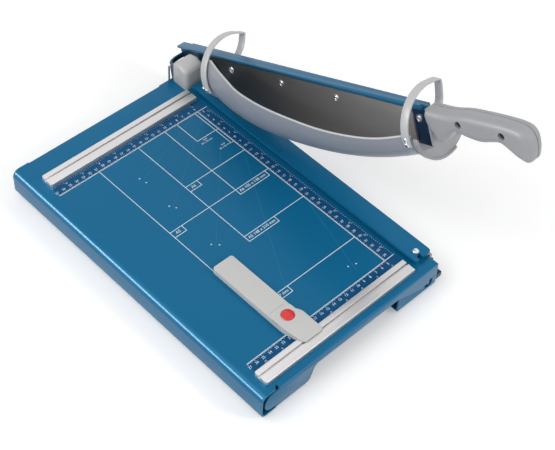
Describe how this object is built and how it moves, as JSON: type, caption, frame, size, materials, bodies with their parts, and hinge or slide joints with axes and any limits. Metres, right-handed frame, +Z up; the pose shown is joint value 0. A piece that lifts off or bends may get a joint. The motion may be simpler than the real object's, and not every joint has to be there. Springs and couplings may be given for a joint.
{
  "type": "guillotine paper cutter",
  "caption": "Guillotine paper cutter: folded blue table with rails, sliding back gauge and spring clamp bar, and a hinged blade arm with a turning barrel guard.",
  "frame": {"origin": "middle of the bounding box's bottom, on the surface that the rubber feet stand on, with the blade arm raised", "axes": "+Z up; +Y from the user's side towards the pivot, along the cut; +X across the table towards the blade"},
  "size_m": [0.3318, 0.553, 0.3082],
  "materials": {
    "blue_paint": "smooth satin powder coat, mid blue",
    "dark_blue_paint": "smooth satin powder coat, dark blue",
    "grey_plastic": "fine moulded texture, cool light grey",
    "pale_plastic": "fine moulded texture, pale grey",
    "rail_aluminium": "drawn and anodised, silver",
    "blade_steel": "ground steel, oiled dark sheen",
    "dull_steel": "zinc plated, satin",
    "chrome_plate": "bright plated, domed",
    "bush_brass": "turned",
    "black_rubber": "moulded, matt",
    "red_plastic": "smooth moulded, satin gloss, plain face"
  },
  "bodies": {
    "base": {"table_plate": "blue_paint", "lower_blade": "blade_steel", "back_rail": "rail_aluminium", "front_rail": "rail_aluminium", "pivot_bracket": "dark_blue_paint", "pivot_shaft": "dull_steel", "pivot_washer": "dull_steel", "pivot_nut": "dull_steel", "lift_spring": "dull_steel", "pivot_cover": "grey_plastic", "front_stop": "dark_blue_paint", "stop_buffer": "black_rubber", "rubber_foot_1": "black_rubber", "lower_blade_bolt_1": "dull_steel", "rubber_foot_2": "black_rubber", "lower_blade_bolt_2": "dull_steel", "rubber_foot_3": "black_rubber", "lower_blade_bolt_3": "dull_steel", "rubber_foot_4": "black_rubber", "lower_blade_bolt_4": "dull_steel", "clamp_pin_1": "chrome_plate", "clamp_spring_1": "dull_steel", "clamp_pin_2": "chrome_plate", "clamp_spring_2": "dull_steel"},
    "clamp": {"clamp_bar": "blue_paint"},
    "gauge": {"gauge_arm": "pale_plastic", "gauge_shoe": "dull_steel", "gauge_button_spring": "dull_steel"},
    "button": {"gauge_button": "red_plastic"},
    "arm": {"arm_bar": "dark_blue_paint", "upper_blade": "blade_steel", "blade_screw_1": "dull_steel", "blade_screw_2": "dull_steel", "blade_screw_3": "dull_steel", "blade_screw_4": "dull_steel", "arm_bush_left": "bush_brass", "arm_bush_right": "bush_brass", "guard_pin_rear": "dull_steel", "guard_pin_front": "dull_steel", "hand_guard": "grey_plastic", "handle_left": "grey_plastic", "handle_right": "grey_plastic", "handle_screw_1": "dull_steel", "handle_screw_2": "dull_steel"},
    "guard": {"guard_shell": "grey_plastic", "rear_hoop": "grey_plastic", "front_hoop": "grey_plastic", "hoop_rivet_1": "chrome_plate", "hoop_rivet_2": "chrome_plate", "hoop_rivet_3": "chrome_plate"}
  },
  "joints": [
    {"name": "arm_hinge", "type": "hinge", "parent": "base", "child": "arm", "pos_m": [0.1231, 0.23653, 0.024], "axis": [1, 0, 0], "range_deg": [0, 24], "stiffness_Nm_per_rad": 4.5, "springref_deg": -57.3},
    {"name": "guard_turn", "type": "hinge", "parent": "arm", "child": "guard", "pos_m": [0.1336, 0.24861, 0.05113], "axis": [0, 0.9135, -0.4067], "range_deg": [0, 130]},
    {"name": "clamp_slide", "type": "slide", "parent": "base", "child": "clamp", "axis": [0, 0, -1], "range_m": [0, 0.004], "deforming": ["clamp_spring_1", "clamp_spring_2"]},
    {"name": "gauge_slide", "type": "slide", "parent": "base", "child": "gauge", "axis": [1, 0, 0], "range_m": [-0.058, 0.138]},
    {"name": "button_press", "type": "slide", "parent": "gauge", "child": "button", "axis": [0, 0, -1], "range_m": [0, 0.003], "stiffness_N_per_m": 300, "springref_m": -0.001, "deforming": ["gauge_button_spring"]}
  ],
  "couplings": [
    {"joint": "guard_turn", "follows": "arm_hinge", "ratio": 5.4},
    {"joint": "clamp_slide", "follows": "arm_hinge", "m_per_rad": 0.0095}
  ]
}
